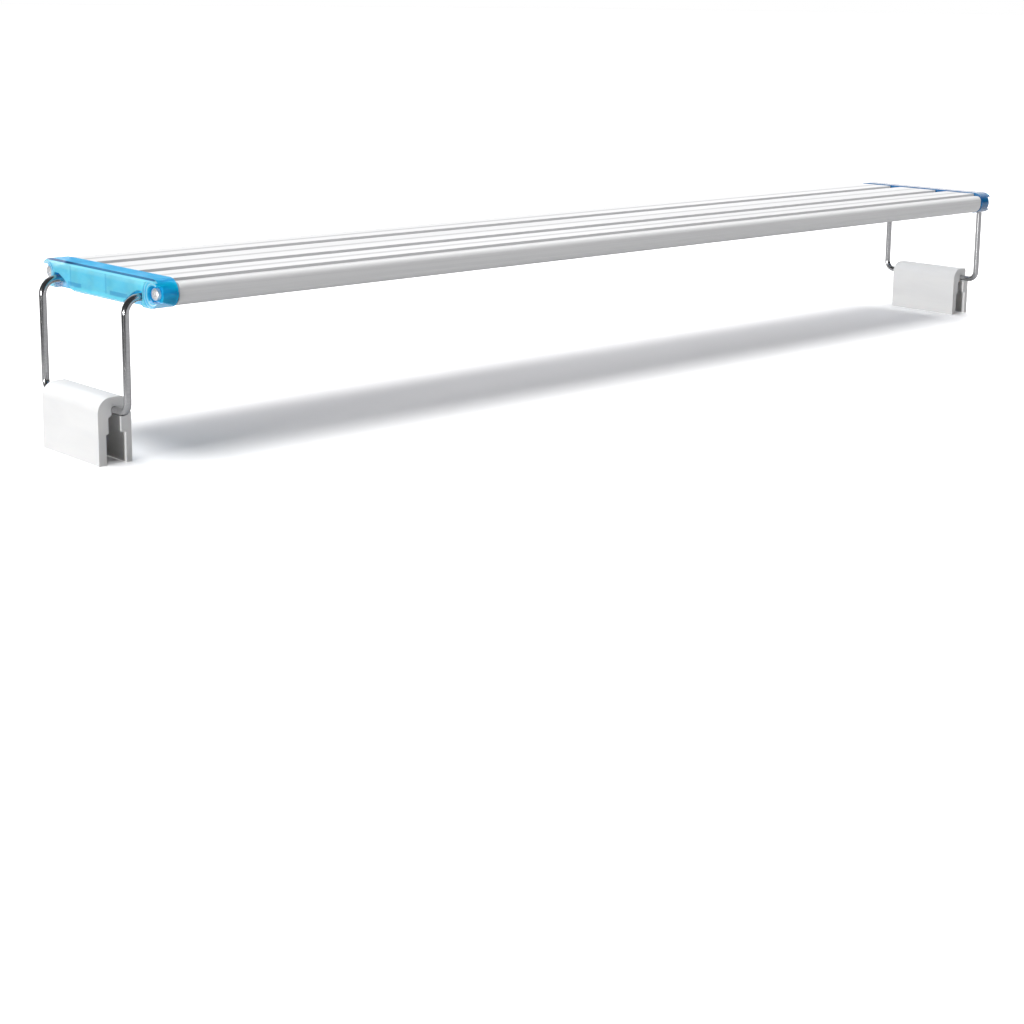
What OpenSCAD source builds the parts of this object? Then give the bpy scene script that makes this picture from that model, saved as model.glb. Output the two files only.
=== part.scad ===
// LED aquarium light: slim clip-on bar lamp with sliding wire brackets.
// Millimetres, +X along the lamp, -Y is the front edge, +Z up, floor at z = 0.

/* [Lamp body] */
// length of the aluminium extrusion
body_l = 354; // [250:2:600]
// width of the extrusion, front to back
body_w = 57; // [57:1:70]
// height of the extrusion
body_h = 7; // [7:0.5:9]
// half width of the recess between the two lower rails
window_hw = 16.3; // [15:0.1:17]
// half width of the visible board behind the lips
panel_hw = 9.6; // [9:0.1:11]
// width of the two long channels in the top face
groove_w = 5; // [0.5:0.1:6]
// depth of the top channels, and drop of the outer shoulders
groove_d = 0.85; // [0.2:0.05:0.9]
// distance of the top channels from the middle
groove_y = 10.5; // [8:0.5:12]

/* [LED board] */
// LEDs in one row
led_count = 20; // [8:1:30]
// spacing of the LEDs along a row
led_pitch = 17.5; // [12:0.5:20]
// spacing of the two rows
row_gap = 8.8; // [6:0.1:11]
// LED package length
led_l = 5.7; // [3.5:0.1:6]
// LED package width
led_w = 3; // [2.5:0.1:3.2]
// LED package height
led_h = 0.7; // [0.5:0.05:0.75]

/* [End caps] */
// thickness of an end cap measured along the lamp
cap_t = 6.5; // [5.5:0.5:9]
// how far the cap stands proud of the extrusion all round
cap_lip = 0.3; // [0:0.1:0.6]
// how far the tongue reaches in under the body
tongue_l = 5.6; // [3:0.1:10]
// thickness of the rubber gasket behind the cap
gasket_t = 0.5; // [0.3:0.1:1]
// distance of the end screws from the middle
screw_y = 26.2; // [26:0.1:26.4]
// radius of a screw head
screw_head_r = 1.6; // [1.4:0.05:1.8]

/* [Brackets] */
// wire diameter
wire_d = 2; // [1.6:0.1:2]
// distance of the legs from the middle
leg_y = 20.7; // [20.4:0.1:21]
// gap between the cap face and the leg centre
leg_out = 4.2; // [4.2:0.1:8]
// drop from the underside of the body to the middle of the bar
bar_drop = 27.3; // [22:0.1:60]
// sliding travel of each bracket
travel = 100; // [20:5:100]

/* [Clamps] */
// clamp length along the bar
clamp_l = 28.4; // [20:0.1:30]
// height of the bar above the clamp feet
bar_z = 14.2; // [13:0.1:20]
// width of the lower glass slot
slot_w = 5.8; // [5:0.1:6]
// width of the upper slot for thin glass
slot_top_w = 3.7; // [3:0.1:3.8]

/* [Hidden] */
$fn = 64;
eps = 0.01;
// lamp heights and ends
body_z = bar_z + bar_drop;
body_x = body_l / 2;
cap_in_x = body_x + gasket_t;
cap_x = cap_in_x + cap_t;
shoulder_h = body_h - groove_d;
// rounding of the long edges: tight above, wide below
edge_top_r = 1.6;
edge_low_r = 3;
// shoulders and fine lines of the top face
shoulder_y = body_w / 2 - 3.2;
line_w = 0.8;
line_d = 0.12;
line_y = [-19.2, 0, 19.2];
// heights inside the extrusion, measured from its underside
step_z = 1.4;
lip_z = 2.4;
cover_z = 2.7;
cover_t = 0.6;
board_z = 4.2;
board_t = 1;
tape_t = 0.2;
slot_hw = panel_hw + 0.9;
rail_lift = 0.35;
rail_y = 20.5;
rail_r = (pow(rail_y - window_hw, 2) + pow(rail_lift, 2)) / (2 * rail_lift);
// board and its fittings
board_l = led_count * led_pitch;
board_hw = slot_hw - 0.1;
cover_x = body_x - 4.8;
led_top = board_z - led_h;
well_d = 0.3;
well_l = led_l - 1.1;
well_w = led_w - 0.7;
term_l = 0.35;
blue_slots = [4, 8, 12, 16];
white_slots = [for (i = [0 : led_count - 1]) if (len(search(i, blue_slots)) == 0) i];
lead_y = 1.3;
lead_r = 0.55;
lead_x = body_x - 4.4;
lead_end_x = cap_in_x + 2.4;
// wire channels in the extrusion
wire_r = wire_d / 2;
wire_z = 2.3;
run_fit = 0.05;
clear_fit = 0.35;
chamber_y = 17.8;
chamber_w = 5.8;
chamber_z = 0.8;
chamber_h = 4.8;
bush_l = 12;
bush_gap = 0.05;
bush_in_x = body_x - bush_l;
// screws
screw_z = 3.45;
screw_r = 1.05;
screw_l = 11;
head_h = 1.3;
head_x = cap_x - 0.7;
bay_r = 2.2;
bay_floor_x = head_x - head_h;
ring_r = 4;
ring_d = 0.35;
// cap details
pocket_z = 2;
pocket_h = 4;
wall_t = 1.5;
pockets = [[-12.4, -5.2], [-4, 4], [5.2, 12.4]];
notch_d = 2;
bevel = 0.9;
tongue_t = 1.5;
tongue_hw = window_hw - 0.1;
gland_z = 3.5;
gland_r = 2.3;
gland_flange_r = 3;
gland_bore_r = 1.55;
gland_len = 6;
// brackets
leg_x = cap_x + leg_out;
top_bend = 4;
low_bend = 3;
wire_hole_x = leg_x - top_bend;
wire_in_x = bush_in_x - travel - 0.5;
stop_r = 1.4;
stop_l = 3;
// clamp profile, measured from the bar centre
clamp_hx = 4.85;
head_hx = 2.9;
neck_x = 2.6;
crown_z = 3.5;
shoulder_r = 3.9;
shoulder_z = -0.6;
small_r = 0.9;
mouth_hw = 0.85;
slot_roof = -1.25;
slot_step = -5.9;
slot_in = -2.6;

// colours
metal = [0.93, 0.94, 0.95];
steel = [0.78, 0.79, 0.80];
cap_blue = [0.10, 0.58, 0.86, 0.85];
rubber = [0.12, 0.13, 0.14];
white_plastic = [0.95, 0.95, 0.95];

// ---- helpers -------------------------------------------------------------

// extrude a [y, z] outline along +X, starting at x0, heights from the body underside
module along_x(x0, len) {
    translate([x0, 0, body_z])
        rotate([90, 0, 90])
            linear_extrude(len)
                children();
}

// extrude an [x, z] outline along +Y, starting at y0
module along_y(y0, len) {
    translate([0, y0 + len, 0])
        rotate([90, 0, 0])
            linear_extrude(len)
                children();
}

// plain cylinder along +X
module rod_x(x0, len, y, z, r) {
    translate([x0, y, z])
        rotate([0, 90, 0])
            cylinder(h = len, r = r);
}

// copy to the right-hand end
module at_right() {
    mirror([1, 0, 0])
        children();
}

// front and back copies of a [y, z] outline
module both_edges() {
    for (s = [0, 1])
        mirror([s, 0])
            children();
}

// what a rounded outer corner takes away: a quadrant outside a circle
module corner_cut(cx, cy, r, sx, sy) {
    difference() {
        translate([sx > 0 ? cx : cx - r - 1, sy > 0 ? cy : cy - r - 1])
            square(r + 1);
        translate([cx, cy])
            circle(r = r);
    }
}

// rectangle with fully round ends
module stadium(w, h) {
    difference() {
        translate([-w / 2, 0])
            square([w, h]);
        both_edges() {
            corner_cut((w - h) / 2, h / 2, h / 2, 1, 1);
            corner_cut((w - h) / 2, h / 2, h / 2, 1, -1);
        }
    }
}

// ---- extruded body -------------------------------------------------------

// recess on the underside: tongue seat, sloped cheeks, cover slot, board slot
module window_2d() {
    polygon([
        [-window_hw, -1], [window_hw, -1], [window_hw, step_z], [panel_hw, lip_z],
        [panel_hw, cover_z - 0.05], [slot_hw, cover_z - 0.05],
        [slot_hw, cover_z + cover_t + 0.05], [panel_hw, cover_z + cover_t + 0.05],
        [panel_hw, board_z], [slot_hw, board_z],
        [slot_hw, board_z + board_t + tape_t], [-slot_hw, board_z + board_t + tape_t],
        [-slot_hw, board_z], [-panel_hw, board_z],
        [-panel_hw, cover_z + cover_t + 0.05], [-slot_hw, cover_z + cover_t + 0.05],
        [-slot_hw, cover_z - 0.05], [-panel_hw, cover_z - 0.05],
        [-panel_hw, lip_z], [-window_hw, step_z]
    ]);
}

// rounds the inner edge of the lower rail upwards
module rail_relief_2d() {
    difference() {
        translate([window_hw - 0.5, -1])
            square([rail_y - window_hw + 0.5, 1 + rail_lift]);
        translate([rail_y, rail_r])
            circle(r = rail_r, $fn = 180);
    }
}

module housing_2d() {
    difference() {
        translate([-body_w / 2, 0])
            square([body_w, body_h]);
        window_2d();
        for (y = line_y)
            translate([y, body_h - line_d])
                polygon([[-line_w / 2, line_d], [-line_w / 2, 1], [line_w / 2, 1], [line_w / 2, line_d], [0, 0]]);
        both_edges() {
            corner_cut(body_w / 2 - edge_top_r, shoulder_h - edge_top_r, edge_top_r, 1, 1);
            corner_cut(body_w / 2 - edge_low_r, edge_low_r, edge_low_r, 1, -1);
            translate([shoulder_y, shoulder_h])
                square([body_w, 2]);
            rail_relief_2d();
            translate([groove_y - groove_w / 2, shoulder_h])
                square([groove_w, 2]);
            translate([chamber_y, chamber_z])
                square([chamber_w, chamber_h]);
            translate([slot_hw + 1.5, lip_z + 0.7])
                square([4, 2.2]);
            translate([screw_y, screw_z])
                circle(r = screw_r + run_fit);
        }
    }
}

module housing() {
    color(metal)
        along_x(-body_x, body_l)
            housing_2d();
}

// ---- LED board -----------------------------------------------------------

module led_board() {
    color([0.86, 0.87, 0.94])
        translate([-board_l / 2, -board_hw, body_z + board_z])
            cube([board_l, 2 * board_hw, board_t]);
}

module thermal_tape() {
    color([0.75, 0.78, 0.80])
        translate([-board_l / 2 + 1, -board_hw + 0.3, body_z + board_z + board_t])
            cube([board_l - 2, 2 * board_hw - 0.6, tape_t]);
}

// place children at every LED position named in slots
module led_places(slots) {
    for (i = slots, s = [-1, 1])
        translate([(i - (led_count - 1) / 2) * led_pitch, s * row_gap / 2, body_z + led_top])
            children();
}

// LED package with an open well facing down
module led_frame() {
    difference() {
        translate([-led_l / 2 + term_l, -led_w / 2, 0])
            cube([led_l - 2 * term_l, led_w, led_h]);
        translate([-well_l / 2, -well_w / 2, -eps])
            cube([well_l, well_w, well_d + eps]);
    }
}

module led_fill() {
    translate([-well_l / 2, -well_w / 2, 0.04])
        cube([well_l, well_w, well_d - 0.04]);
}

module white_led_frames() {
    color([0.97, 0.97, 0.95])
        led_places(white_slots)
            led_frame();
}

module white_led_phosphors() {
    color([0.98, 0.93, 0.55])
        led_places(white_slots)
            led_fill();
}

module blue_led_frames() {
    color([0.97, 0.97, 0.95])
        led_places(blue_slots)
            led_frame();
}

module blue_led_lenses() {
    color([0.88, 0.92, 0.97])
        led_places(blue_slots)
            led_fill();
}

module led_terminals() {
    color([0.60, 0.60, 0.58])
        led_places([for (i = [0 : led_count - 1]) i])
            for (s = [0, 1])
                mirror([s, 0, 0])
                    translate([led_l / 2 - term_l, -led_w / 2 + 0.3, 0.1])
                        cube([term_l, led_w - 0.6, led_h - 0.1]);
}

module clear_cover() {
    color([0.85, 0.93, 0.98, 0.35])
        translate([-cover_x, -board_hw, body_z + cover_z])
            cube([2 * cover_x, 2 * board_hw, cover_t]);
}

module solder_pads() {
    color([0.80, 0.80, 0.78])
        for (s = [-1, 1])
            translate([lead_x + 1, s * lead_y, body_z + board_z - 0.2])
                cylinder(h = 0.2, r = 0.9);
}

module supply_lead(s) {
    rod_x(lead_x, lead_end_x - lead_x, s * lead_y, body_z + board_z - 0.2 - lead_r, lead_r);
}

module supply_lead_red() {
    color([0.80, 0.10, 0.08])
        supply_lead(-1);
}

module supply_lead_black() {
    color([0.08, 0.08, 0.08])
        supply_lead(1);
}

// ---- end caps ------------------------------------------------------------

module cap_outline_2d() {
    translate([0, -cap_lip])
        stadium(body_w + 2 * cap_lip, body_h + 2 * cap_lip);
}

// relief that lets the wire bend close to the cap
module wire_notch_2d() {
    polygon([
        [11.5, -1], [12, -cap_lip], [17.3, 2.9], [19.6, 3.9],
        [21.8, 3.9], [22.2, 2.4], [21.6, -1]
    ]);
}

// cap at the -X end
module end_cap() {
    difference() {
        union() {
            along_x(-cap_x, cap_t)
                cap_outline_2d();
            along_x(-cap_in_x - eps, gasket_t + tongue_l + eps)
                translate([-tongue_hw, -cap_lip])
                    square([2 * tongue_hw, tongue_t]);
        }
        // long bevels on the outer face, above and below
        along_y(-body_w, 2 * body_w)
            translate([-cap_x, body_z + body_h + cap_lip])
                polygon([[-1, 1], [-1, -bevel - 1], [0, -bevel], [bevel, 0], [bevel, 1]]);
        along_y(-body_w, 2 * body_w)
            translate([-cap_x, body_z - cap_lip])
                polygon([[-1, -1], [-1, 1], [0, 0.5], [0.5, 0], [0.5, -1]]);
        // wire reliefs
        along_x(-cap_x - 1, 1 + notch_d)
            both_edges()
                wire_notch_2d();
        // hollow back with stiffening ribs
        along_x(-cap_x + wall_t, cap_t)
            for (p = pockets)
                translate([p[0], pocket_z])
                    square([p[1] - p[0], pocket_h]);
        for (s = [-1, 1]) {
            // shallow ring around each screw, then the screw bay open to the side
            rod_x(-cap_x - 1, 1 + ring_d, s * screw_y, body_z + screw_z, ring_r);
            rod_x(-cap_x - 1, 1 + cap_x - bay_floor_x, s * screw_y, body_z + screw_z, bay_r);
            translate([-cap_x - 1, s > 0 ? screw_y : -screw_y - 4, body_z + screw_z - bay_r])
                cube([1 + cap_x - bay_floor_x, 4, 2 * bay_r]);
            rod_x(-cap_x, cap_t + 1, s * screw_y, body_z + screw_z, screw_r + clear_fit);
            rod_x(-cap_x - 1, cap_t + 2, s * leg_y, body_z + wire_z, wire_r + run_fit);
        }
    }
}

module left_end_cap() {
    color(cap_blue)
        end_cap();
}

module right_end_cap() {
    color(cap_blue)
        difference() {
            at_right()
                end_cap();
            rod_x(cap_in_x - 1, cap_t + 2, 0, body_z + gland_z, gland_r);
        }
}

module cap_gasket() {
    along_x(-cap_in_x, gasket_t)
        difference() {
            translate([0, 0.4])
                stadium(body_w - 0.8, shoulder_h - 0.8);
            translate([-window_hw, -1])
                square([2 * window_hw, 1 + step_z]);
            translate([-8.5, lip_z])
                square([17, 2.2]);
            both_edges() {
                translate([leg_y, wire_z])
                    circle(r = wire_r + clear_fit);
                translate([screw_y, screw_z])
                    circle(r = screw_r + clear_fit);
            }
        }
}

module left_cap_gasket() {
    color(rubber)
        cap_gasket();
}

module right_cap_gasket() {
    color(rubber)
        at_right()
            cap_gasket();
}

// pan head screw with a cross recess, pointing into the body
module cap_screw(s) {
    difference() {
        union() {
            rod_x(-head_x, head_h, s * screw_y, body_z + screw_z, screw_head_r);
            rod_x(-bay_floor_x - eps, screw_l, s * screw_y, body_z + screw_z, screw_r);
        }
        for (a = [45, 135])
            translate([-head_x, s * screw_y, body_z + screw_z])
                rotate([a, 0, 0])
                    cube([1.4, 1.9, 0.42], center = true);
    }
}

module cap_screws() {
    cap_screw(-1);
    cap_screw(1);
}

module left_cap_screws() {
    color(steel)
        cap_screws();
}

module right_cap_screws() {
    color(steel)
        at_right()
            cap_screws();
}

// nylon blocks that guide the wire in the rail channels
module guide_bushes() {
    for (s = [0, 1])
        mirror([0, s, 0])
            difference() {
                translate([-body_x, chamber_y + bush_gap, body_z + chamber_z + bush_gap])
                    cube([bush_l, chamber_w - 2 * bush_gap, chamber_h - 2 * bush_gap]);
                rod_x(-body_x - 1, bush_l + 2, leg_y, body_z + wire_z, wire_r + run_fit);
            }
}

module left_guide_bushes() {
    color(white_plastic)
        guide_bushes();
}

module right_guide_bushes() {
    color(white_plastic)
        at_right()
            guide_bushes();
}

// rubber gland in the outer face of the right cap, ready for a 3 mm cable
module cable_gland() {
    color(rubber)
        difference() {
            union() {
                rod_x(cap_x - wall_t, wall_t + eps, 0, body_z + gland_z, gland_r - run_fit);
                rod_x(cap_x, 1, 0, body_z + gland_z, gland_flange_r);
                rod_x(cap_x + 1 - eps, gland_len - 1 - wall_t + eps, 0, body_z + gland_z, 2.4);
            }
            rod_x(cap_x - 3, gland_len + 4, 0, body_z + gland_z, gland_bore_r);
        }
}

// ---- sliding brackets ----------------------------------------------------

// quarter bend in the XY plane: from [r, 0] turning to [0, r]
module quarter_bend(r) {
    rotate_extrude(angle = 90)
        translate([r, 0])
            circle(r = wire_r);
}

// one leg: straight run into the rail, top bend, drop, low bend
module bracket_leg() {
    leg_top = body_z + wire_z - top_bend;
    rod_x(-wire_hole_x, wire_hole_x - wire_in_x, leg_y, body_z + wire_z, wire_r);
    translate([-wire_hole_x, leg_y, leg_top])
        rotate([90, 0, 0])
            mirror([1, 0, 0])
                quarter_bend(top_bend);
    translate([-leg_x, leg_y, bar_z + low_bend])
        cylinder(h = leg_top - bar_z - low_bend, r = wire_r);
    translate([-leg_x, leg_y - low_bend, bar_z + low_bend])
        rotate([90, 0, 90])
            mirror([0, 1, 0])
                quarter_bend(low_bend);
}

module bracket_wire() {
    union() {
        for (s = [0, 1])
            mirror([0, s, 0])
                bracket_leg();
        translate([-leg_x, -(leg_y - low_bend), bar_z])
            rotate([-90, 0, 0])
                cylinder(h = 2 * (leg_y - low_bend), r = wire_r);
    }
}

module left_bracket_wire() {
    color(steel)
        bracket_wire();
}

module right_bracket_wire() {
    color(steel)
        at_right()
            bracket_wire();
}

// end stops that keep the legs from leaving the rails
module leg_stops() {
    for (s = [-1, 1])
        rod_x(-wire_in_x, stop_l, s * leg_y, body_z + wire_z, stop_r);
}

module left_leg_stops() {
    color(steel)
        leg_stops();
}

module right_leg_stops() {
    color(steel)
        at_right()
            leg_stops();
}

// ---- glass clamps --------------------------------------------------------

// [x, z] profile around the bar centre: hooked head, wire channel, stepped slot
module clamp_2d() {
    difference() {
        polygon([
            [-clamp_hx, -bar_z], [-clamp_hx, crown_z], [head_hx, crown_z], [head_hx, 0.9],
            [neck_x, -0.3], [neck_x, shoulder_z], [clamp_hx, shoulder_z], [clamp_hx, -bar_z]
        ]);
        corner_cut(shoulder_r - clamp_hx, crown_z - shoulder_r, shoulder_r, -1, 1);
        corner_cut(head_hx - small_r, crown_z - small_r, small_r, 1, 1);
        corner_cut(clamp_hx - small_r, shoulder_z - small_r, small_r, 1, 1);
        circle(r = wire_r + run_fit);
        polygon([
            [-mouth_hw, 0], [-mouth_hw, slot_roof], [-slot_top_w / 2, slot_roof - 0.6],
            [-slot_top_w / 2, slot_step], [slot_in, slot_step - 0.3], [slot_in, -bar_z - 1],
            [slot_in + slot_w, -bar_z - 1], [slot_in + slot_w, slot_step - 0.3],
            [slot_top_w / 2, slot_step], [slot_top_w / 2, slot_roof - 0.6],
            [mouth_hw, slot_roof], [mouth_hw, 0]
        ]);
    }
}

module clamp_at(x) {
    color(white_plastic)
        translate([x, 0, bar_z])
            along_y(-clamp_l / 2, clamp_l)
                clamp_2d();
}

module left_clamp() {
    clamp_at(-leg_x);
}

module right_clamp() {
    clamp_at(leg_x);
}

// ---- parts ---------------------------------------------------------------

housing();
led_board();
thermal_tape();
white_led_frames();
white_led_phosphors();
blue_led_frames();
blue_led_lenses();
led_terminals();
clear_cover();
solder_pads();
supply_lead_red();
supply_lead_black();
left_end_cap();
right_end_cap();
left_cap_gasket();
right_cap_gasket();
left_cap_screws();
right_cap_screws();
left_guide_bushes();
right_guide_bushes();
cable_gland();
left_bracket_wire();
right_bracket_wire();
left_leg_stops();
right_leg_stops();
left_clamp();
right_clamp();
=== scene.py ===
"""LED aquarium light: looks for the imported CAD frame. Metres, row frame, floor at z = 0."""
import math
import random

import bmesh
import bpy
from mathutils import Matrix, Vector


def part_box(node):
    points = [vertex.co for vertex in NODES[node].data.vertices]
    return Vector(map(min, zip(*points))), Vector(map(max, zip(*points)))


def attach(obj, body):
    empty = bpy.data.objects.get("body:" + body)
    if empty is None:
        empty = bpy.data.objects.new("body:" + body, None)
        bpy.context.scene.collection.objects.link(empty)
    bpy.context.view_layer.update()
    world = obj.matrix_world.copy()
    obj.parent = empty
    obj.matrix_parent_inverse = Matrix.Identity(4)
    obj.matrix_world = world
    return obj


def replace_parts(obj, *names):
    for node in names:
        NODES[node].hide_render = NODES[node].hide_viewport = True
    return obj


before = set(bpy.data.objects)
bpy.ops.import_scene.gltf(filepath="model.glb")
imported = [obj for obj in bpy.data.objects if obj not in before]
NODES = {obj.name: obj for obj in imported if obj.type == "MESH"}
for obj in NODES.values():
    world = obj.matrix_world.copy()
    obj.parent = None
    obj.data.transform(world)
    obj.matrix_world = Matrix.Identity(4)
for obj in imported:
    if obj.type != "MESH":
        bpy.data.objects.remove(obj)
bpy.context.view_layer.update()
MM = 0.001
rng = random.Random(7)

# the camera's place in metres, the way it looks, and its right-hand side
EYE = (-0.4311, -0.42493, 0.11698)
LOOK = (0.66830, 0.72027, -0.18597)
RIGHT = (0.73436, -0.67869, 0.01038)
SENSOR, LENS, SHIFT_Y = 36, 65.76, -0.15

# what shows through a cap, in mm, heights over the cap's foot
RIBS_Y = (-14.2, -4.6, 4.6, 13.2)
BARS_Y = ((-11.5, -3.5), (6.0, 11.8))
# marks on the end face: middle, half width, level, half height, strength
CAP_MARKS = ((13.2, 0.3, 4.6, 2.6, 0.22), (-4.6, 0.3, 4.4, 2.8, 0.22),
             (11.2, 3.4, 2.0, 0.45, 0.4), (-10.8, 4.2, 2.0, 0.45, 0.4))
# radii in mm of the painted highlight rings round the cap screws
SCREW_GLINT_RADII = (2.75, 3.75)
# across the housing top, in mm: the fine scribed lines that get painted shade
SCRIBED_Y = (-19.2, 0.0, 19.2)


# ---- camera, floor, light --------------------------------------------------

def make_camera():
    data = bpy.data.cameras.new("camera")
    cam = bpy.data.objects.new("camera", data)
    bpy.context.scene.collection.objects.link(cam)
    back = -Vector(LOOK).normalized()
    right = Vector(RIGHT)
    right = (right - right.dot(back) * back).normalized()
    up = back.cross(right)
    turn = Matrix((right, up, back)).transposed().to_4x4()
    cam.matrix_world = Matrix.Translation(EYE) @ turn
    data.sensor_width = SENSOR
    data.lens = LENS
    data.shift_y = SHIFT_Y
    data.clip_start, data.clip_end = 0.01, 100
    bpy.context.scene.camera = cam


def sun(name, energy, spread, way, mirrored=True):
    """A lamp far off: its spread in degrees, the way it shines, and whether mirrors show it."""
    data = bpy.data.lights.new(name, "SUN")
    data.energy = energy
    data.angle = math.radians(spread)
    o = bpy.data.objects.new(name, data)
    bpy.context.scene.collection.objects.link(o)
    o.rotation_mode = "QUATERNION"
    o.rotation_quaternion = Vector(way).to_track_quat("-Z", "Y")
    o.visible_glossy = mirrored


def make_world():
    """A pale studio: bright above and behind the lamp, darker on the near side, white to the eye."""
    scene = bpy.context.scene
    scene.view_settings.view_transform = "Standard"
    world = bpy.data.worlds.new("studio")
    scene.world = world
    world.use_nodes = True
    nt = world.node_tree
    bg = nt.nodes["Background"]
    way = nt.nodes.new("ShaderNodeTexCoord")
    toward = nt.nodes.new("ShaderNodeVectorMath")
    toward.operation = "DOT_PRODUCT"
    toward.inputs[1].default_value = (0.64, 0.64, 0.42)
    walls = nt.nodes.new("ShaderNodeValToRGB")
    stops = walls.color_ramp.elements
    stops[0].position, stops[0].color = 0.74, (0.06, 0.06, 0.062, 1)
    stops[1].position, stops[1].color = 0.96, (1.0, 1.0, 1.01, 1)
    half = nt.nodes.new("ShaderNodeMapRange")
    half.inputs["From Min"].default_value = -1
    path = nt.nodes.new("ShaderNodeLightPath")
    mix = nt.nodes.new("ShaderNodeMix")
    mix.data_type = "RGBA"
    mix.inputs["B"].default_value = (1, 1, 1, 1)
    nt.links.new(way.outputs["Generated"], toward.inputs[0])
    nt.links.new(toward.outputs["Value"], half.inputs["Value"])
    nt.links.new(half.outputs["Result"], walls.inputs["Fac"])
    nt.links.new(walls.outputs["Color"], mix.inputs["A"])
    nt.links.new(path.outputs["Is Camera Ray"], mix.inputs["Factor"])
    nt.links.new(mix.outputs["Result"], bg.inputs["Color"])


def make_lights():
    sun("overhead", 3.05, 46, (0.10, 0.03, -1), mirrored=False)
    sun("low_left", 2.25, 6, (0.985, 0.165, -0.052))


def make_floor():
    """A white sweep, a hair under the lamp's feet."""
    bpy.ops.mesh.primitive_plane_add(size=60, location=(0, 0, -0.05 * MM))
    floor = bpy.context.object
    floor.name = "floor"
    m = Mat("floor_white", (0.92, 0.92, 0.92), 0.6)
    cloud = m.noise((3, 3, 3), detail=3)
    seen = m.ramp(cloud, [(0.3, (0.91, 0.91, 0.915)), (0.7, (0.93, 0.93, 0.93))])
    path = m.new("ShaderNodeLightPath")
    # the sweep throws back less light than it shows, as a flagged studio floor does,
    # and a black flag lies off to the left, where only the bright metal finds it
    x, _, _ = m.axes()
    flag = m.times(m.ranged(x, -0.27, -0.33), path.outputs["Is Glossy Ray"])
    bounce = m.mix(flag, (0.53, 0.53, 0.535), (0.01, 0.01, 0.01))
    m.to("Base Color", m.mix(path.outputs["Is Camera Ray"], bounce, seen))
    # a face that stands on the floor gets a little light, or it would be black from underneath
    touching = m.math("LESS_THAN", path.outputs["Ray Length"], 0.2 * MM)
    m.bsdf.inputs["Emission Color"].default_value = (1, 1, 1, 1)
    m.to("Emission Strength", m.times(touching, 0.55))
    m.mat.cycles.emission_sampling = "NONE"
    # the picture is exposed until the sweep burns out white: a second layer of white for the camera
    glare = m.new("ShaderNodeBsdfDiffuse")
    extra = m.mix(path.outputs["Is Camera Ray"], (0.0, 0.0, 0.0), (0.50, 0.50, 0.50))
    m.join(extra, glare.inputs["Color"])
    burnt = m.new("ShaderNodeAddShader")
    m.join(m.bsdf.outputs[0], burnt.inputs[0])
    m.join(glare.outputs[0], burnt.inputs[1])
    # seen from underneath, the floor lets the view through
    geo = m.new("ShaderNodeNewGeometry")
    clear = m.new("ShaderNodeBsdfTransparent")
    both = m.new("ShaderNodeMixShader")
    m.join(geo.outputs["Backfacing"], both.inputs[0])
    m.join(burnt.outputs[0], both.inputs[1])
    m.join(clear.outputs[0], both.inputs[2])
    m.join(both.outputs[0], m.out.inputs["Surface"])
    floor.data.materials.append(m.mat)


# ---- materials -------------------------------------------------------------

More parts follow.
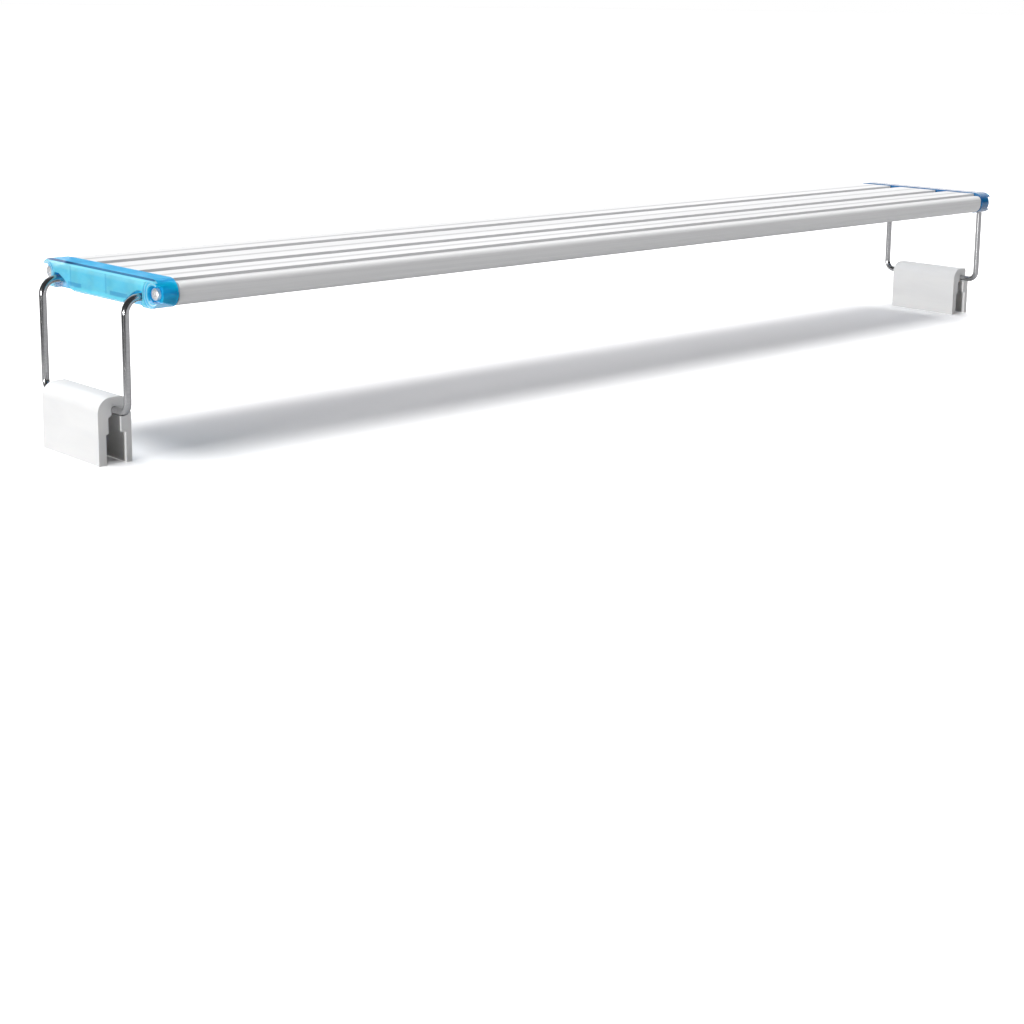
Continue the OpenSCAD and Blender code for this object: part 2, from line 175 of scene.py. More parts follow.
class Mat:
    """A Principled material with short helpers for its procedural inputs."""

    def __init__(self, name, color, rough, metal=0.0, **more):
        self.mat = bpy.data.materials.new(name)
        self.mat.use_nodes = True
        self.tree = self.mat.node_tree
        self.bsdf = self.tree.nodes["Principled BSDF"]
        self.out = self.tree.nodes["Material Output"]
        self.mat.diffuse_color = (*color, 1)
        self.bsdf.inputs["Base Color"].default_value = (*color, 1)
        self.bsdf.inputs["Roughness"].default_value = rough
        self.bsdf.inputs["Metallic"].default_value = metal
        for key, value in more.items():
            self.bsdf.inputs[key.replace("_", " ")].default_value = value
        self.where = self.new("ShaderNodeTexCoord").outputs["Object"]

    def new(self, kind):
        return self.tree.nodes.new(kind)

    def join(self, a, b):
        self.tree.links.new(a, b)

    def to(self, name, socket):
        self.join(socket, self.bsdf.inputs[name])

    def noise(self, scale, detail=4.0, distort=0.0):
        """Noise with its own scale, per metre, along each axis of the object."""
        mapped = self.new("ShaderNodeMapping")
        mapped.inputs["Scale"].default_value = scale
        self.join(self.where, mapped.inputs["Vector"])
        n = self.new("ShaderNodeTexNoise")
        n.inputs["Scale"].default_value = 1.0
        n.inputs["Detail"].default_value = detail
        n.inputs["Roughness"].default_value = 0.55
        n.inputs["Distortion"].default_value = distort
        self.join(mapped.outputs["Vector"], n.inputs["Vector"])
        return n.outputs["Fac"]

    def ramp(self, fac, stops):
        """Colour that runs between two (position, colour) stops."""
        r = self.new("ShaderNodeValToRGB")
        for stop, (pos, c) in zip(r.color_ramp.elements, stops):
            stop.position = pos
            stop.color = (*c, 1)
        self.join(fac, r.inputs["Fac"])
        return r.outputs["Color"]

    def scaled(self, fac, lo, hi):
        """lo where fac is 0, hi where it is 1."""
        m = self.new("ShaderNodeMapRange")
        m.inputs["To Min"].default_value = lo
        m.inputs["To Max"].default_value = hi
        self.join(fac, m.inputs["Value"])
        return m.outputs["Result"]

    def ranged(self, fac, start, stop):
        """0 at start, 1 at stop, clamped."""
        m = self.new("ShaderNodeMapRange")
        m.inputs["From Min"].default_value = start
        m.inputs["From Max"].default_value = stop
        self.join(fac, m.inputs["Value"])
        return m.outputs["Result"]

    def math(self, kind, a, b=None):
        m = self.new("ShaderNodeMath")
        m.operation = kind
        for i, v in enumerate([a, b]):
            if v is None:
                continue
            if isinstance(v, (int, float)):
                m.inputs[i].default_value = v
            else:
                self.join(v, m.inputs[i])
        return m.outputs[0]

    def times(self, first, *others):
        for v in others:
            first = self.math("MULTIPLY", first, v)
        return first

    def gap(self, value, at):
        """How far a value is from a number, either way."""
        return self.math("ABSOLUTE", self.math("SUBTRACT", value, at))

    def axes(self):
        """The object's own X, Y and Z, in metres, which are the CAD frame's."""
        s = self.new("ShaderNodeSeparateXYZ")
        self.join(self.where, s.inputs[0])
        return s.outputs["X"], s.outputs["Y"], s.outputs["Z"]

    def mix(self, fac, a, b):
        """Colour a where fac is 0, b where it is 1."""
        m = self.new("ShaderNodeMix")
        m.data_type = "RGBA"
        for name, v in (("Factor", fac), ("A", a), ("B", b)):
            if isinstance(v, (int, float)):
                m.inputs[name].default_value = v
            elif isinstance(v, tuple):
                m.inputs[name].default_value = (*v, 1)
            else:
                self.join(v, m.inputs[name])
        return m.outputs["Result"]

    def bump(self, height, strength, distance):
        b = self.new("ShaderNodeBump")
        b.inputs["Strength"].default_value = strength
        b.inputs["Distance"].default_value = distance
        self.join(height, b.inputs["Height"])
        self.to("Normal", b.outputs["Normal"])


def satin_aluminium():
    m = Mat("satin_aluminium", (0.80, 0.805, 0.81), 0.42, 0.08, Anisotropic=0.3)
    lines = m.noise((14, 3200, 3200), detail=3)
    broad = m.noise((6, 90, 90), detail=2)
    tone = m.ramp(lines, [(0.3, (0.73, 0.735, 0.745)), (0.7, (0.84, 0.84, 0.84))])
    tone = m.mix(0.35, tone, m.ramp(broad, [(0.35, (0.76, 0.765, 0.77)), (0.65, (0.86, 0.86, 0.86))]))
    # painted shade: the fine scribed lines and the channel walls are darkened, standing in for the shadow in
    # these narrow hollows
    _, y, z = m.axes()
    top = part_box("housing")[1].z
    upper = m.math("GREATER_THAN", z, top - 0.2 * MM)
    scribed_shade = 0.0
    for at in SCRIBED_Y:
        scribed_shade = m.math("ADD", m.ranged(m.gap(y, at * MM), 1.8 * MM, 0.4 * MM), scribed_shade)
    tone = m.mix(m.times(scribed_shade, upper), tone, (0.54, 0.54, 0.545))
    channel_shade = m.times(m.math("LESS_THAN", z, top - 0.06 * MM), m.math("GREATER_THAN", z, top - 0.8 * MM))
    inboard = m.math("LESS_THAN", m.math("ABSOLUTE", y), 25.8 * MM)
    tone = m.mix(m.times(channel_shade, inboard, 0.8), tone, (0.60, 0.60, 0.61))
    m.to("Base Color", tone)
    m.to("Roughness", m.scaled(lines, 0.33, 0.47))
    m.bump(lines, 0.12, 0.00004)
    return m.mat


def blue_plastic(name, alpha, shaded_copy):
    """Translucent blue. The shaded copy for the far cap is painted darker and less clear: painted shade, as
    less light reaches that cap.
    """
    m = Mat(name, (0.01, 0.36, 0.70), 0.14, IOR=1.49, Alpha=alpha,
            Subsurface_Weight=0.3, Subsurface_Scale=0.002)
    m.bsdf.inputs["Subsurface Radius"].default_value = (0.25, 0.8, 1.0)
    m.bsdf.inputs["Specular IOR Level"].default_value = 0.5 if shaded_copy else 0.25
    m.bsdf.inputs["Coat Weight"].default_value = 1.0 if shaded_copy else 0.0
    flow = m.noise((120, 220, 500), detail=3, distort=0.6)
    deep = m.ramp(flow, [(0.38, (0.0, 0.34, 0.76)), (0.62, (0.004, 0.58, 1.0))])
    pale = m.ramp(flow, [(0.3, (0.17, 0.72, 0.98)), (0.7, (0.22, 0.80, 1.0))])
    lo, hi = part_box("left_end_cap")
    face, top, foot = -lo.x, hi.z, lo.z
    x, y, z = m.axes()
    out = m.math("ABSOLUTE", x)
    side = m.math("ABSOLUTE", y)
    # painted glow: the plastic is lighter low down, standing in for more light passing through it where it
    # is thin
    low = m.ranged(z, top - 3.4 * MM, foot + 1.2 * MM)
    tone = m.mix(m.times(low, 0.75), deep, (0.03, 0.54, 0.95))
    upper = m.ranged(z, top - 0.4 * MM, top - 0.1 * MM)
    if shaded_copy:
        # painted shade: the far cap's copy is pulled most of the way to navy
        tone = m.mix(0.8, tone, (0.0, 0.06, 0.24))
    else:
        # painted light: the near cap's top face is lighter
        tone = m.mix(m.times(upper, 0.6), tone, (0.06, 0.50, 0.86))
    # painted glow: the thin outer wall is lighter, as if lit through, most of all just under the bevel
    wall = m.ranged(out, face - 0.5 * MM, face - 0.15 * MM)
    tone = m.mix(m.times(wall, 0.5 if shaded_copy else 1.0), tone, pale)
    bright = m.times(wall, m.ranged(z, top - 2.2 * MM, top - 1.5 * MM))
    tone = m.mix(m.times(bright, 0.8), tone, (0.32, 0.85, 1.0))
    # ribs and low bars behind the wall show as faint darker marks
    for mid, half, level, height, strength in CAP_MARKS:
        mark = m.times(m.ranged(m.gap(y, mid * MM), (half + 0.15) * MM, half * MM),
                       m.ranged(m.gap(z, foot + level * MM), (height + 0.2) * MM, height * MM))
        tone = m.mix(m.times(mark, wall, strength), tone, (0.0, 0.18, 0.52))
    # painted highlight: pale rings round the screws, where the moulded rings catch the light
    lo_s, hi_s = parts_of("left_cap_screws")[0]
    dy = m.math("SUBTRACT", side, abs(lo_s.y + hi_s.y) / 2)
    dz = m.math("SUBTRACT", z, (lo_s.z + hi_s.z) / 2)
    far = m.math("SQRT", m.math("ADD", m.times(dy, dy), m.times(dz, dz)))
    for r in SCREW_GLINT_RADII:
        line = m.math("LESS_THAN", m.gap(far, r * MM), 0.16 * MM)
        line = m.times(line, m.ranged(out, face - 0.8 * MM, face - 0.6 * MM))
        tone = m.mix(m.times(line, 0.7), tone, (0.55, 0.88, 1.0))
    # the long bevel: painted light makes it pale below, and painted shade makes a dark line along its upper
    # edge
    outer = m.ranged(out, face - 1.25 * MM, face - 1.1 * MM)
    bevel = m.times(m.ranged(z, top - 1.0 * MM, top - 0.85 * MM), outer)
    tone = m.mix(m.times(bevel, 0.85), tone, (0.30, 0.80, 1.0))
    crease_shade = m.times(m.ranged(z, top - 0.50 * MM, top - 0.40 * MM), outer)
    tone = m.mix(m.times(crease_shade, 0.96), tone, (0.0, 0.05, 0.18))
    m.to("Base Color", tone)
    gloss = m.scaled(m.noise((900, 900, 900), detail=2), 0.1, 0.22)
    matt = bevel if shaded_copy else m.math("MAXIMUM", upper, bevel)
    m.to("Roughness", m.math("MAXIMUM", gloss, m.times(matt, 0.55)))
    m.bump(flow, 0.12, 0.0003)
    return m.mat


def blue_core():
    m = Mat("blue_core", (0.10, 0.70, 0.95), 0.3, IOR=1.49,
            Subsurface_Weight=0.4, Subsurface_Scale=0.002)
    m.bsdf.inputs["Subsurface Radius"].default_value = (0.3, 0.8, 1.0)
    flow = m.noise((90, 160, 420), detail=3, distort=0.8)
    m.to("Base Color", m.ramp(flow, [(0.25, (0.16, 0.76, 0.97)), (0.75, (0.24, 0.88, 1.0))]))
    m.bump(flow, 0.2, 0.0004)
    return m.mat


def wire_steel():
    m = Mat("wire_steel", (0.55, 0.55, 0.56), 0.16, 1.0, Anisotropic=0.5)
    # drawing marks along the upright parts, and along the legs
    drawn = m.noise((2500, 2500, 40), detail=3)
    along = m.noise((40, 2500, 2500), detail=3)
    shades = [(0.3, (0.44, 0.44, 0.45)), (0.7, (0.62, 0.62, 0.63))]
    m.to("Base Color", m.mix(0.5, m.ramp(drawn, shades), m.ramp(along, shades)))
    m.to("Roughness", m.scaled(drawn, 0.12, 0.24))
    m.bump(drawn, 0.15, 0.00002)
    return m.mat


def white_plastic():
    m = Mat("white_plastic", (0.79, 0.79, 0.785), 0.4, IOR=1.47,
            Subsurface_Weight=0.2, Subsurface_Scale=0.0015)
    m.bsdf.inputs["Subsurface Radius"].default_value = (1.0, 0.9, 0.8)
    grain = m.noise((3500, 3500, 3500), detail=2)
    flow = m.noise((70, 40, 160), detail=3, distort=0.5)
    m.to("Base Color", m.ramp(flow, [(0.3, (0.76, 0.76, 0.76)), (0.7, (0.81, 0.81, 0.805))]))
    m.to("Roughness", m.scaled(flow, 0.34, 0.46))
    m.bump(grain, 0.18, 0.00003)
    return m.mat


def board_white():
    m = Mat("board_white", (0.62, 0.64, 0.76), 0.32, IOR=1.5)
    cloud = m.noise((35, 60, 60), detail=4)
    fine = m.noise((2200, 2200, 2200), detail=2)
    m.to("Base Color", m.ramp(cloud, [(0.3, (0.60, 0.62, 0.75)), (0.7, (0.66, 0.68, 0.79))]))
    m.to("Roughness", m.scaled(fine, 0.25, 0.4))
    m.bump(fine, 0.08, 0.00002)
    return m.mat


def speckled(name, a, b, rough, scale=900, metal=0.0, height=0.00003, strength=0.15, **more):
    """Plain moulded, painted or cast finish: two tones of fine noise with a matching bump."""
    m = Mat(name, tuple((x + y) / 2 for x, y in zip(a, b)), rough, metal, **more)
    n = m.noise((scale, scale, scale), detail=3)
    m.to("Base Color", m.ramp(n, [(0.3, a), (0.7, b)]))
    m.to("Roughness", m.scaled(n, rough * 0.8, min(1, rough * 1.25)))
    m.bump(n, strength, height)
    return m.mat


def clear_acrylic():
    m = Mat("clear_acrylic", (0.80, 0.84, 0.95), 0.05, IOR=1.49, Alpha=0.10)
    haze = m.noise((30, 60, 60), detail=4)
    m.to("Roughness", m.scaled(haze, 0.03, 0.10))
    m.to("Base Color", m.ramp(haze, [(0.3, (0.76, 0.81, 0.95)), (0.7, (0.84, 0.87, 0.96))]))
    return m.mat


def make_materials():
    return {
        "satin_aluminium": satin_aluminium(),
        "blue_plastic": blue_plastic("blue_plastic", 0.66, False),
        "blue_plastic_shaded": blue_plastic("blue_plastic_shaded", 0.88, True),
        "blue_core": blue_core(),
        "blue_rib": speckled("blue_rib", (0.0, 0.10, 0.34), (0.0, 0.16, 0.44), 0.3, 1200),
        "wire_steel": wire_steel(),
        "white_plastic": white_plastic(),
        "board_white": board_white(),
        "clear_acrylic": clear_acrylic(),
        "tape_grey": speckled("tape_grey", (0.42, 0.44, 0.46), (0.52, 0.54, 0.56), 0.7, 1500),
        "led_frame": speckled("led_frame", (0.86, 0.86, 0.85), (0.94, 0.94, 0.93), 0.35, 4000),
        "phosphor": speckled("phosphor", (0.88, 0.82, 0.16), (0.95, 0.91, 0.32), 0.28, 6000,
                             Coat_Weight=0.4, Subsurface_Weight=0.3, Subsurface_Scale=0.0004),
        "led_clear": speckled("led_clear", (0.66, 0.72, 0.80), (0.80, 0.84, 0.90), 0.12, 3000,
                              Coat_Weight=0.6),
        "led_die": speckled("led_die", (0.10, 0.16, 0.42), (0.18, 0.26, 0.55), 0.25, 9000),
        # the solder is darker than bare tin, partly as painted shade for the dark outlines at the LEDs' ends
        "tin": speckled("tin", (0.42, 0.42, 0.42), (0.58, 0.58, 0.57), 0.32, 5000, 0.9),
        "gold_wire": speckled("gold_wire", (0.75, 0.55, 0.20), (0.85, 0.66, 0.30), 0.3, 9000, 1.0),
        "lead_red": speckled("lead_red", (0.55, 0.02, 0.015), (0.68, 0.04, 0.03), 0.42, 3000),
        "lead_black": speckled("lead_black", (0.012, 0.012, 0.012), (0.03, 0.03, 0.03), 0.45, 3000),
        "black_rubber": speckled("black_rubber", (0.018, 0.020, 0.024), (0.04, 0.042, 0.046), 0.6, 3500,
                                 strength=0.3),
        "screw_steel": speckled("screw_steel", (0.84, 0.84, 0.85), (0.93, 0.93, 0.93), 0.36, 4000, 0.6),
        "nylon": speckled("nylon", (0.74, 0.74, 0.70), (0.82, 0.82, 0.78), 0.45, 2500,
                          Subsurface_Weight=0.2, Subsurface_Scale=0.001),
        "trace_mask": speckled("trace_mask", (0.66, 0.68, 0.80), (0.72, 0.74, 0.84), 0.3, 2500),
    }


# ---- pieces ----------------------------------------------------------------

def paint(obj, mat):
    obj.data.materials.clear()
    obj.data.materials.append(MATS[mat])
    for p in obj.data.polygons:
        p.material_index = 0


def piece(name, verts, faces, mat, body, smooth=True):
    """A new mesh from corners in metres, riding on a CAD body."""
    me = bpy.data.meshes.new(name)
    me.from_pydata([tuple(v) for v in verts], [], faces)
    me.validate()
    me.update()
    o = bpy.data.objects.new(name, me)
    bpy.context.scene.collection.objects.link(o)
    for p in me.polygons:
        p.use_smooth = smooth
    paint(o, mat)
    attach(o, body)
    return o


def soften(name, width, segments=2):
    """Rounds the edges of a CAD part by a width in mm, with modifiers only."""
    o = NODES[name]
    w = o.modifiers.new("weld", "WELD")
    w.merge_threshold = 2e-6
    b = o.modifiers.new("bevel", "BEVEL")
    b.width = width * MM
    b.segments = segments
    b.limit_method = "ANGLE"
    b.angle_limit = math.radians(40)
    b.miter_outer = "MITER_ARC"
    n = o.modifiers.new("normals", "WEIGHTED_NORMAL")
    n.mode = "FACE_AREA"
    n.weight = 50
    n.keep_sharp = False


def finish_cad_nodes():
    finishes = {
        "satin_aluminium": ["housing"],
        "board_white": ["led_board"],
        "tape_grey": ["thermal_tape"],
        "led_frame": ["white_led_frames", "blue_led_frames"],
        "phosphor": ["white_led_phosphors"],
        "led_clear": ["blue_led_lenses"],
        "tin": ["led_terminals", "solder_pads"],
        "clear_acrylic": ["clear_cover"],
        "lead_red": ["supply_lead_red"],
        "lead_black": ["supply_lead_black"],
        "blue_plastic": ["left_end_cap"],
        "blue_plastic_shaded": ["right_end_cap"],
        "black_rubber": ["left_cap_gasket", "right_cap_gasket", "cable_gland"],
        "screw_steel": ["left_cap_screws", "right_cap_screws"],
        "nylon": ["left_guide_bushes", "right_guide_bushes"],
        "wire_steel": ["left_bracket_wire", "right_bracket_wire", "left_leg_stops", "right_leg_stops"],
        "white_plastic": ["left_clamp", "right_clamp"],
    }
    for mat, names in finishes.items():
        for n in names:
            paint(NODES[n], mat)
    soften("housing", 0.12)
    soften("left_end_cap", 0.3, 3)
    soften("right_end_cap", 0.3, 3)
    soften("left_clamp", 0.38, 3)
    soften("right_clamp", 0.38, 3)
    soften("white_led_frames", 0.1)
    soften("blue_led_frames", 0.1)


def parts_of(name):
    """Lowest and highest corner of each separate solid in a CAD node, in order along X then Y."""
    me = NODES[name].data
    home = {}
    link = list(range(len(me.vertices)))

    def root(i):
        while link[i] != i:
            link[i] = link[link[i]]
            i = link[i]
        return i

    for v in me.vertices:
        key = tuple(round(c / MM, 3) for c in v.co)
        link[root(v.index)] = root(home.setdefault(key, v.index))
    for p in me.polygons:
        for a in p.vertices[1:]:
            link[root(a)] = root(p.vertices[0])
    groups = {}
    for v in me.vertices:
        groups.setdefault(root(v.index), []).append(v.co)
    boxes = []
    for vs in groups.values():
        lo = Vector(min(c[k] for c in vs) for k in range(3))
        hi = Vector(max(c[k] for c in vs) for k in range(3))
        boxes.append((lo, hi))
    return sorted(boxes, key=lambda b: (round(b[0].x, 5), round(b[0].y, 5)))


def turns(steps):
    """Angles evenly round a circle."""
    return [2 * math.pi * k / steps for k in range(steps)]


class Build:
    """Collects corners and faces for one mesh."""

    def __init__(self):
        self.v = []
        self.f = []

    def grid(self, rows, closed=False):
        """Quads between rows of points. closed joins each row's last point to its first."""
        base, n = len(self.v), len(rows[0])
        for r in rows:
            self.v += [tuple(p) for p in r]
        for i in range(len(rows) - 1):
            for j in range(n if closed else n - 1):
                here, after = base + i * n, base + (i + 1) * n
                k = (j + 1) % n
                self.f.append((here + j, here + k, after + k, after + j))

    def cap(self, ring, flip=False):
        """One face over a ring of points."""
        base = len(self.v)
        self.v += [tuple(p) for p in ring]
        face = tuple(range(base, base + len(ring)))
        self.f.append(face[::-1] if flip else face)

    def lathe_x(self, profile, y, z, steps):
        """Profile of (x, radius) turned about a line along X."""
        rows = [[(x, y + r * math.cos(t), z + r * math.sin(t)) for t in turns(steps)] for x, r in profile]
        self.grid(rows, closed=True)

    def rounded_slab(self, lo, hi, r, across="z"):
        """Box with its four corners round when seen along one axis, and softened rims."""
        steps = 4
        ax = "xyz".index(across)
        u, w = [k for k in range(3) if k != ax]
        rim = min(r * 0.35, (hi[ax] - lo[ax]) * 0.3)

        def ring(inset, level):
            pts = []
            rr = max(r - inset, 1e-6)
            corners = ((hi[u], hi[w], 0), (lo[u], hi[w], 90), (lo[u], lo[w], 180), (hi[u], lo[w], 270))
            for cx, cy, start in corners:
                mx = cx - math.copysign(r, cx - (lo[u] + hi[u]) / 2)
                my = cy - math.copysign(r, cy - (lo[w] + hi[w]) / 2)
                for k in range(steps + 1):
                    t = math.radians(start + 90 * k / steps)
                    p = [0, 0, 0]
                    p[u], p[w], p[ax] = mx + rr * math.cos(t), my + rr * math.sin(t), level
                    pts.append(tuple(p))
            return pts

        rings = [ring(rim, lo[ax]), ring(rim * 0.3, lo[ax] + rim * 0.3), ring(0, lo[ax] + rim),
                 ring(0, hi[ax] - rim), ring(rim * 0.3, hi[ax] - rim * 0.3), ring(rim, hi[ax])]
        self.grid(rings, closed=True)
        self.cap(rings[0], True)
        self.cap(rings[-1])

    def made(self, name, mat, slot, body, smooth=True):
        o = piece(name, self.v, self.f, mat, body, smooth)
        bm = bmesh.new()
        bm.from_mesh(o.data)
        bmesh.ops.remove_doubles(bm, verts=bm.verts, dist=1e-7)
        bmesh.ops.recalc_face_normals(bm, faces=bm.faces)
        bm.to_mesh(o.data)
        bm.free()
        for p in o.data.polygons:
            p.use_smooth = smooth
        return o


def sharpen(obj, angle=35):
    """Smooth shading with crisp edges kept."""
    bm = bmesh.new()
    bm.from_mesh(obj.data)
    for e in bm.edges:
        if len(e.link_faces) == 2 and e.calc_face_angle() > math.radians(angle):
            e.smooth = False
    bm.to_mesh(obj.data)
    bm.free()


def led_gels():
    """Cast fill of each LED well, with the slightly hollow surface of a poured gel."""
    for node, name, mat in (("white_led_phosphors", "white_led_gel", "phosphor"),
                            ("blue_led_lenses", "blue_led_gel", "led_clear")):
        b = Build()
        # share of the well's size and height over its mouth in mm, from the well's floor to the middle
        levels = ((1.0, 0.24), (1.0, 0.0), (0.94, 0.015), (0.8, 0.035), (0.5, 0.055), (0.15, 0.06))
        for lo, hi in parts_of(node):
            cx, cy = (lo.x + hi.x) / 2, (lo.y + hi.y) / 2
            hx, hy = (hi.x - lo.x) / 2, (hi.y - lo.y) / 2
            rings = []
            for s, dz in levels:
                # the rings are squarish, the innermost nearly round
                p = 0.32 if s > 0.4 else 0.7
                ring = []
                for k in range(24):
                    t = 2 * math.pi * (k + 0.5) / 24
                    c, q = math.cos(t), math.sin(t)
                    ring.append((cx + hx * s * math.copysign(abs(c) ** p, c),
                                 cy + hy * s * math.copysign(abs(q) ** p, q), lo.z + dz * MM))
                rings.append(ring)
            b.grid(rings, closed=True)
            b.cap(rings[0])
            b.cap(rings[-1], True)
        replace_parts(b.made(name, mat, mat, "lamp"), node)


def blue_led_dies():
    """Chip and bond wires that show through the clear wells."""
    dies, wires = Build(), Build()
    for lo, hi in parts_of("blue_led_lenses"):
        cx, cy = (lo.x + hi.x) / 2, (lo.y + hi.y) / 2
        z = lo.z - 0.01 * MM
        dies.rounded_slab((cx - 0.5 * MM, cy - 0.42 * MM, z),
                          (cx + 0.5 * MM, cy + 0.42 * MM, z + 0.08 * MM), 0.08 * MM)
        for s in (-1, 1):
            path = [Vector((cx + s * (0.35 + 1.3 * t) * MM, cy + 0.1 * s * MM,
                            z - (0.10 * math.sin(math.pi * t)) * MM)) for t in (k / 8 for k in range(9))]
            rows = [[p + Vector((0, math.cos(a), math.sin(a))) * 0.035 * MM for a in turns(6)]
                    for p in path]
            wires.grid(rows, closed=True)
    dies.made("blue_led_chips", "led_die", "led_clear", "lamp", smooth=False)
    wires.made("blue_led_bond_wires", "gold_wire", "tin", "lamp")


def board_details():
    """Solder fillets, pads and buried copper tracks around the LEDs."""
    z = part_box("led_board")[0].z
    fillets, pads, tracks = Build(), Build(), Build()
    terms = parts_of("led_terminals")
    for lo, hi in terms:
        # of an LED's two terminals, the one lower in X faces down the board
        same_led = [t[0].x for t in terms
                    if abs(t[0].x - lo.x) < 6 * MM and abs(t[0].y - lo.y) < 1 * MM]
        out = -1 if lo.x < min(same_led) + 1 * MM else 1
        edge = lo.x if out < 0 else hi.x
        rows = []
        for t in (k / 4 for k in range(5)):
            x = edge + out * 0.42 * MM * t
            h = 0.42 * MM * (1 - t) ** 2
            rows.append([(x, lo.y - 0.05 * MM * t, z - h), (x, hi.y + 0.05 * MM * t, z - h)])
        fillets.grid(rows)
        fillets.cap([rows[0][0], rows[0][1], (edge, hi.y, z), (edge, lo.y, z)])
        x0, x1 = sorted((edge - out * 0.5 * MM, edge + out * 0.6 * MM))
        pads.rounded_slab((x0, lo.y - 0.25 * MM, z - 0.035 * MM),
                          (x1, hi.y + 0.25 * MM, z + 0.01 * MM), 0.12 * MM)
    rows_y = sorted({round((lo.y + hi.y) / 2 / MM, 1) for lo, hi in terms})
    xs = sorted({round((lo.x + hi.x) / 2 / MM, 2) for lo, hi in terms})
    for y in rows_y:
        for a, c in zip(xs[1::2], xs[2::2]):
            tracks.rounded_slab((a * MM, (y - 0.7) * MM, z - 0.02 * MM),
                                (c * MM, (y + 0.7) * MM, z + 0.01 * MM), 0.3 * MM)
    for x in (xs[0] - 1.6, xs[-1] + 1.6):
        tracks.rounded_slab(((x - 0.8) * MM, rows_y[0] * MM, z - 0.02 * MM),
                            ((x + 0.8) * MM, rows_y[-1] * MM, z + 0.01 * MM), 0.5 * MM)
    sharpen(fillets.made("led_solder_fillets", "tin", "tin", "lamp"))
    sharpen(pads.made("led_pads", "tin", "tin", "lamp"))
    tracks.made("board_tracks", "trace_mask", "board_white", "lamp")


def screw_heads():
    """Domed cross-recess screws in the cap ends."""
    dome_h, head_t = 0.42 * MM, 1.25 * MM
    arm_half, arm_long, arm_deep = 0.26 * MM, 0.98 * MM, 0.5 * MM
    threads = 26
    for side, sign in (("left", -1), ("right", 1)):
        b = Build()
        for lo, hi in parts_of(side + "_cap_screws"):
            y, z = (lo.y + hi.y) / 2, (lo.z + hi.z) / 2
            r = (hi.y - lo.y) / 2
            face, tail = (lo.x, hi.x) if sign < 0 else (hi.x, lo.x)
            turn = math.radians(rng.uniform(10, 80))
            rows = []
            for i in range(15):
                rho = r * (i / 14)
                dome = dome_h * (rho / r) ** 2.4
                ring = []
                for t in turns(48):
                    u = abs(rho * math.cos(t - turn))
                    w = abs(rho * math.sin(t - turn))
                    arm = max(min((arm_half - u) / (0.10 * MM), (arm_long - w) / (0.12 * MM)),
                              min((arm_half - w) / (0.10 * MM), (arm_long - u) / (0.12 * MM)))
                    sink = arm_deep * min(1, max(0, arm + 0.5)) * max(0, 1 - 0.45 * rho / r)
                    ring.append((face - sign * (dome + sink), y + rho * math.cos(t), z + rho * math.sin(t)))
                rows.append(ring)
            rows.append([(face - sign * head_t, p[1], p[2]) for p in rows[-1]])
            shank = [(face - sign * head_t, 1.04 * MM)]
            for k in range(threads + 1):
                x = face - sign * 1.6 * MM + (tail - face + sign * 1.6 * MM) * k / threads
                shank.append((x, (1.04 if k % 2 else 0.86) * MM * (1 if k < threads - 2 else 0.7)))
            b.grid(rows, closed=True)
            b.lathe_x(shank, y, z, 24)
            b.cap([(tail, y + 0.5 * MM * math.cos(a), z + 0.5 * MM * math.sin(a))
                   for a in turns(24)], sign < 0)
        o = b.made(side + "_screws", "screw_steel", "screw_steel", "lamp")
        sharpen(o, 30)
        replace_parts(o, side + "_cap_screws")


def gland():
    """Rubber inlet gland with rings and a rounded flange."""
    lo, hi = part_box("cable_gland")
    y, z = (lo.y + hi.y) / 2, (lo.z + hi.z) / 2
    inner, tip = lo.x, hi.x
    cap_x = tip - 4.5 * MM
    b = Build()
    # (x in metres, radius in mm)
    prof = [(inner, 1.55), (inner, 2.2), (cap_x, 2.2), (cap_x, 2.75), (cap_x + 0.15 * MM, 2.95),
            (cap_x + 0.6 * MM, 3.0), (cap_x + 0.95 * MM, 2.75), (cap_x + 1.0 * MM, 2.4)]
    for k in range(3):
        x = cap_x + (1.25 + 0.95 * k) * MM
        prof += [(x, 2.4), (x + 0.12 * MM, 2.08), (x + 0.38 * MM, 2.08), (x + 0.5 * MM, 2.38)]
    prof += [(tip - 0.2 * MM, 2.36), (tip - 0.03 * MM, 2.2), (tip, 2.0),
             (tip - 0.05 * MM, 1.7), (tip - 0.3 * MM, 1.56)]
    prof = [(x, r * MM) for x, r in prof] + [(inner, 1.55 * MM)]
    b.lathe_x(prof, y, z, 48)
    o = b.made("cable_gland_sleeve", "black_rubber", "black_rubber", "lamp")
    sharpen(o, 40)
    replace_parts(o, "cable_gland")


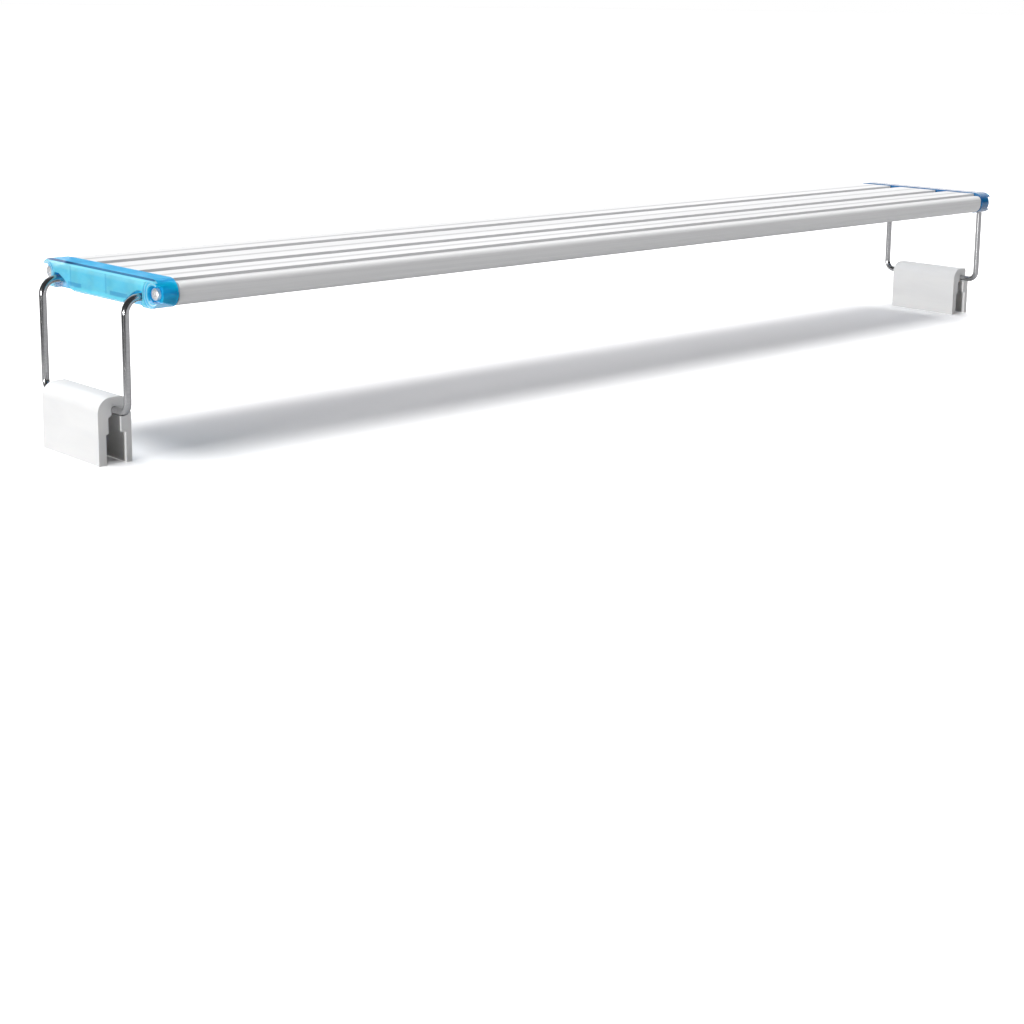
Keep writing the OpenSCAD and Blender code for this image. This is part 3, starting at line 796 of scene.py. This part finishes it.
def cap_cores():
    """What shows through the translucent caps: a paler body with stiffening ribs and low bars."""
    for side, sign in (("left", -1), ("right", 1)):
        lo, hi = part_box(side + "_end_cap")
        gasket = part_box(side + "_cap_gasket")
        out, inside = (lo.x, gasket[0].x) if sign < 0 else (hi.x, gasket[1].x)
        inside += sign * 0.15 * MM
        z0, z1 = lo.z + 1.0 * MM, hi.z - 0.9 * MM
        # the core stops short of the wire legs, which run through the cap on both sides of it
        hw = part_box(side + "_bracket_wire")[1].y - 2.4 * MM
        near, far = sorted((inside, out - sign * 2.5 * MM))
        core = Build()
        r = (z1 - z0) / 2
        ends = []
        for x, inset in ((near, 0.25), (near + 0.25 * MM, 0), (far - 0.25 * MM, 0), (far, 0.25)):
            ring = []
            for s in (1, -1):
                for k in range(13):
                    t = math.radians(-90 + 180 * k / 12)
                    ring.append((x, s * (hw - r + (r - inset * MM) * math.cos(t)),
                                 (z0 + z1) / 2 + s * (r - inset * MM) * math.sin(t)))
            ends.append(ring)
        core.grid(ends, closed=True)
        core.cap(ends[0])
        core.cap(ends[-1], True)
        a, c = sorted((inside, out - sign * 0.4 * MM))
        core.rounded_slab((a, -12.5 * MM, lo.z + 0.45 * MM),
                          (c, 12.5 * MM, lo.z + 1.25 * MM), 0.3 * MM, "x")
        core.made(side + "_cap_core", "blue_core", "blue_plastic", "lamp")
        ribs = Build()
        a, c = sorted((out - sign * 2.45 * MM, out - sign * 0.12 * MM))
        for y in RIBS_Y:
            ribs.rounded_slab((a, (y - 0.3) * MM, lo.z + 1.6 * MM),
                              (c, (y + 0.3) * MM, hi.z - 1.7 * MM), 0.2 * MM, "x")
        for y0, y1 in BARS_Y:
            ribs.rounded_slab((a, y0 * MM, lo.z + 1.5 * MM),
                              (c, y1 * MM, lo.z + 2.3 * MM), 0.25 * MM, "x")
        sharpen(ribs.made(side + "_cap_ribs", "blue_rib", "blue_plastic", "lamp"))


make_camera()
MATS = make_materials()
make_world()
make_lights()
make_floor()
finish_cad_nodes()
led_gels()
blue_led_dies()
board_details()
screw_heads()
gland()
cap_cores()
